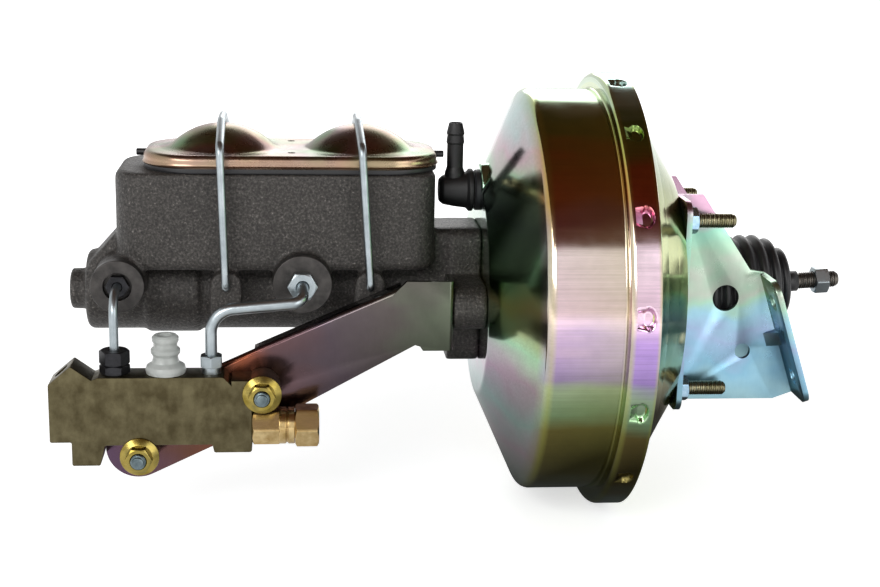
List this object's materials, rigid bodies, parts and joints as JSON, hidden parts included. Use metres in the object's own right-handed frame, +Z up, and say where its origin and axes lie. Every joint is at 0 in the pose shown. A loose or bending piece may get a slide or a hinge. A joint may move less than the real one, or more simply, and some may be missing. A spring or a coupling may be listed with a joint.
{
  "type": "vacuum brake booster with master cylinder",
  "caption": "Vacuum brake booster with firewall brackets, push rod, tandem master cylinder with bailed cover, and a bracketed combination valve with its lines.",
  "frame": {"origin": "centre of the booster's rear face, on the booster's axis, between the four rear studs", "axes": "+X rearward along the booster's axis towards the firewall, +Z up, +Y away from the side that carries the combination valve"},
  "size_m": [0.4447, 0.247, 0.247],
  "materials": {
    "dichromate_shell": "zinc with yellow dichromate, iridescent",
    "dichromate_bracket": "zinc with yellow dichromate, iridescent",
    "dichromate_fastener": "zinc with yellow dichromate",
    "gold_cover": "zinc with yellow dichromate",
    "zinc_steel": "bright zinc",
    "black_steel": "black oxide",
    "spring_steel": "oiled spring steel",
    "black_casting": "sand cast, black paint",
    "black_rubber": "moulded",
    "black_plastic": "moulded",
    "natural_plastic": "moulded, unpigmented",
    "brass": "machined and dull",
    "machined_alloy": "turned",
    "felt": "felt"
  },
  "bodies": {
    "housing": {"front_shell": "dichromate_shell", "rear_shell": "dichromate_shell", "near_firewall_bracket": "dichromate_bracket", "far_firewall_bracket": "dichromate_bracket", "valve_bracket": "dichromate_bracket", "rear_studs": "dichromate_fastener", "rear_nuts": "dichromate_fastener", "valve_flange_nuts": "dichromate_fastener", "reservoir_cover": "gold_cover", "front_studs": "zinc_steel", "master_nuts": "zinc_steel", "front_brake_line": "zinc_steel", "rear_brake_line": "zinc_steel", "rear_line_nuts": "zinc_steel", "reinforcement_plate": "zinc_steel", "snap_ring": "zinc_steel", "piston_stop_screw": "zinc_steel", "front_line_nuts": "black_steel", "front_line_adapter": "black_steel", "valve_bolts": "black_steel", "return_spring": "spring_steel", "primary_spring": "spring_steel", "secondary_spring": "spring_steel", "proportioning_spring": "spring_steel", "metering_spring": "spring_steel", "master_body": "black_casting", "cover_gasket": "black_rubber", "boot": "black_rubber", "diaphragm": "black_rubber", "hub_seal": "black_rubber", "front_seal": "black_rubber", "check_valve_grommet": "black_rubber", "pressure_switch": "natural_plastic", "valve_block": "brass", "proportioning_plug": "brass", "proportioning_cap": "brass", "metering_plug": "brass", "switch_terminal": "brass"},
    "hub": {"valve_body": "black_plastic", "diaphragm_plate": "zinc_steel", "reaction_disc": "black_rubber", "output_rod": "black_steel", "poppet_valve": "black_rubber", "poppet_retainer": "zinc_steel", "poppet_spring": "spring_steel", "air_filter": "felt", "plunger_key": "zinc_steel"},
    "plunger": {"air_valve_plunger": "machined_alloy"},
    "rod": {"input_rod": "zinc_steel", "rod_jam_nut": "zinc_steel"},
    "primary": {"primary_piston": "machined_alloy", "primary_cups": "black_rubber"},
    "secondary": {"secondary_piston": "machined_alloy", "secondary_cups": "black_rubber"},
    "front_bail_body": {"front_bail": "zinc_steel"},
    "rear_bail_body": {"rear_bail": "zinc_steel"},
    "elbow": {"check_valve": "black_plastic"},
    "proportioner": {"proportioning_piston": "machined_alloy"},
    "shuttle": {"warning_piston": "machined_alloy"},
    "metering": {"metering_stem": "brass"}
  },
  "joints": [
    {"name": "hub_slide", "type": "slide", "parent": "housing", "child": "hub", "axis": [-1, 0, 0], "range_m": [0, 0.03], "stiffness_N_per_m": 1500, "springref_m": -0.04, "deforming": ["diaphragm", "boot", "return_spring"]},
    {"name": "plunger_slide", "type": "slide", "parent": "hub", "child": "plunger", "axis": [-1, 0, 0], "range_m": [0, 0.0015], "stiffness_N_per_m": 2000, "springref_m": -0.002, "deforming": ["boot", "poppet_spring"]},
    {"name": "rod_tilt", "type": "hinge", "parent": "plunger", "child": "rod", "pos_m": [0.012, 0, 0], "axis": [0, 1, 0], "range_deg": [-1, 7.5], "deforming": ["boot"]},
    {"name": "primary_slide", "type": "slide", "parent": "housing", "child": "primary", "axis": [-1, 0, 0], "range_m": [0, 0.03], "deforming": ["primary_spring"]},
    {"name": "secondary_slide", "type": "slide", "parent": "housing", "child": "secondary", "axis": [-1, 0, 0], "range_m": [0, 0.015], "deforming": ["primary_spring", "secondary_spring"]},
    {"name": "front_bail_swing", "type": "hinge", "parent": "housing", "child": "front_bail_body", "pos_m": [-0.2463, 0, 0.0105], "axis": [0, -1, 0], "range_deg": [0, 75]},
    {"name": "rear_bail_swing", "type": "hinge", "parent": "housing", "child": "rear_bail_body", "pos_m": [-0.1687, 0, 0.0105], "axis": [0, 1, 0], "range_deg": [0, 31]},
    {"name": "check_valve_swivel", "type": "hinge", "parent": "housing", "child": "elbow", "pos_m": [-0.1, 0, 0.057], "axis": [1, 0, 0], "range_deg": [-35, 35]},
    {"name": "proportioning_slide", "type": "slide", "parent": "housing", "child": "proportioner", "axis": [1, 0, 0], "range_m": [0, 0.002], "stiffness_N_per_m": 4000, "springref_m": -0.002, "deforming": ["proportioning_spring"]},
    {"name": "warning_slide", "type": "slide", "parent": "housing", "child": "shuttle", "axis": [1, 0, 0], "range_m": [-0.0015, 0.0015]},
    {"name": "metering_slide", "type": "slide", "parent": "housing", "child": "metering", "axis": [0, 0, -1], "range_m": [0, 0.0015], "stiffness_N_per_m": 2000, "springref_m": -0.002, "deforming": ["metering_spring"]}
  ],
  "couplings": [
    {"joint": "primary_slide", "follows": "hub_slide", "ratio": 1},
    {"joint": "secondary_slide", "follows": "hub_slide", "ratio": 0.5}
  ]
}
